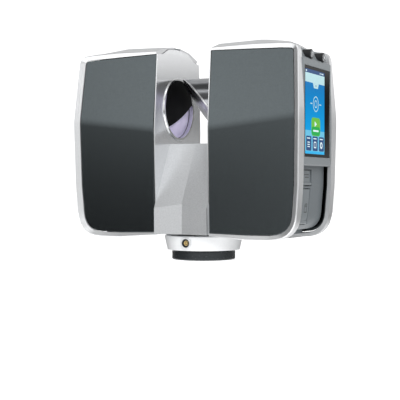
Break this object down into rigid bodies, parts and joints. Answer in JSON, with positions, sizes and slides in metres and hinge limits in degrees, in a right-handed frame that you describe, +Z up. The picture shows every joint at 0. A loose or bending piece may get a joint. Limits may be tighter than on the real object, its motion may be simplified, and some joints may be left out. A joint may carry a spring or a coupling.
{
  "type": "terrestrial laser scanner",
  "caption": "Terrestrial laser scanner with two covered housings on a turning bridge, a spinning scanning mirror between them, touch display, round base and tripod thread.",
  "frame": {"origin": "axis of the tripod thread at the lower face of the mounting plate, which is also the azimuth axis", "axes": "+Z up along the azimuth axis, +X from the lens housing towards the display housing along the mirror's spin axis, -Y towards the front covers and the power socket"},
  "size_m": [0.2394, 0.1, 0.2096],
  "materials": {
    "black_anodised": "black anodised, satin",
    "steel": "ground steel",
    "machined_aluminium": "turned and bead blasted, clear anodised",
    "cast_aluminium": "silver paint over a fine blasted grain",
    "black_plastic": "matte moulded",
    "gold": "gold plated",
    "brass": "machined brass",
    "motor": "black oxide can",
    "cover_grey": "satin metallic charcoal",
    "frame_silver": "satin silver",
    "recess_grey": "fine moulded texture",
    "display": "lit liquid crystal panel",
    "display_glass": "black bordered touch glass",
    "button_silver": "brushed",
    "chrome": "polished",
    "lens_glass": "violet anti-reflection coating",
    "mirror_coat": "first surface mirror coating",
    "encoder_glass": "etched glass",
    "circuit_board": "green solder mask",
    "card_blue": "moulded"
  },
  "bodies": {
    "base": {"mounting_plate": "black_anodised", "plate_screws": "steel", "base_ring": "machined_aluminium", "power_socket_shell": "machined_aluminium", "power_socket_insert": "black_plastic", "power_socket_contacts": "gold", "azimuth_spindle": "steel", "azimuth_bearing_inner": "steel", "azimuth_gear": "brass"},
    "head": {"bridge_casting": "cast_aluminium", "azimuth_bearing_outer": "steel", "azimuth_bearing_balls": "steel", "azimuth_motor": "motor", "left_side_plate": "cast_aluminium", "right_side_plate": "cast_aluminium", "side_plate_screws": "steel", "left_front_panel": "cover_grey", "left_rear_panel": "cover_grey", "right_front_panel": "cover_grey", "right_rear_panel": "cover_grey", "left_front_frame": "frame_silver", "left_rear_frame": "frame_silver", "right_front_frame": "frame_silver", "right_rear_frame": "frame_silver", "left_spine": "recess_grey", "right_spine": "recess_grey", "display_bezel": "recess_grey", "display_panel": "display", "display_glass": "display_glass", "button_bezels": "black_plastic", "lens_ring": "chrome", "lens_baffle": "black_plastic", "receiver_lens": "lens_glass", "optics_tube": "black_plastic", "laser_module": "brass", "detector_board": "circuit_board", "mirror_housing": "cast_aluminium", "mirror_bearings": "steel", "mirror_motor_stator": "motor", "encoder_readhead": "black_plastic", "main_board": "circuit_board", "battery_tray": "black_plastic", "battery_pack": "black_plastic", "battery_door_pin": "steel", "sd_slot": "black_plastic", "sd_card": "card_blue", "sd_cover_pin": "steel", "port_cover_pin": "steel"},
    "mirror": {"mirror_body": "chrome", "mirror_glass": "mirror_coat", "mirror_shaft": "steel", "mirror_motor_rotor": "steel", "encoder_disc": "encoder_glass"},
    "pinion": {"azimuth_pinion": "brass"},
    "power_button": {"power_button": "button_silver"},
    "start_button": {"start_button": "button_silver"},
    "sd_cover": {"sd_cover": "recess_grey"},
    "port_cover": {"port_cover": "recess_grey"},
    "battery_door": {"battery_door": "recess_grey"},
    "battery_latch": {"battery_latch": "black_plastic"}
  },
  "joints": [
    {"name": "azimuth", "type": "hinge", "parent": "base", "child": "head", "pos_m": [0, 0, 0.045], "axis": [0, 0, 1], "continuous": true},
    {"name": "pinion_spin", "type": "hinge", "parent": "head", "child": "pinion", "pos_m": [0, 0.03, 0.03], "axis": [0, 0, 1], "continuous": true},
    {"name": "mirror_spin", "type": "hinge", "parent": "head", "child": "mirror", "pos_m": [0, 0, 0.1475], "axis": [1, 0, 0], "continuous": true},
    {"name": "power_button_press", "type": "slide", "parent": "head", "child": "power_button", "axis": [-1, 0, 0], "range_m": [0, 0.0012], "stiffness_N_per_m": 400, "springref_m": -0.002},
    {"name": "start_button_press", "type": "slide", "parent": "head", "child": "start_button", "axis": [-1, 0, 0], "range_m": [0, 0.0012], "stiffness_N_per_m": 400, "springref_m": -0.002},
    {"name": "sd_cover_hinge", "type": "hinge", "parent": "head", "child": "sd_cover", "pos_m": [0.10593, -0.0125, 0.0376], "axis": [0, 1, 0], "range_deg": [0, 105]},
    {"name": "port_cover_hinge", "type": "hinge", "parent": "head", "child": "port_cover", "pos_m": [0.10983, -0.0095, 0.0736], "axis": [0, 1, 0], "range_deg": [0, 95]},
    {"name": "battery_door_hinge", "type": "hinge", "parent": "head", "child": "battery_door", "pos_m": [-0.11145, 0, 0.0516], "axis": [0, -1, 0], "range_deg": [0, 100]},
    {"name": "battery_latch_slide", "type": "slide", "parent": "head", "child": "battery_latch", "axis": [0, 0, 1], "range_m": [0, 0.003], "stiffness_N_per_m": 150, "springref_m": -0.002}
  ],
  "couplings": [
    {"joint": "pinion_spin", "follows": "azimuth", "ratio": 4}
  ]
}
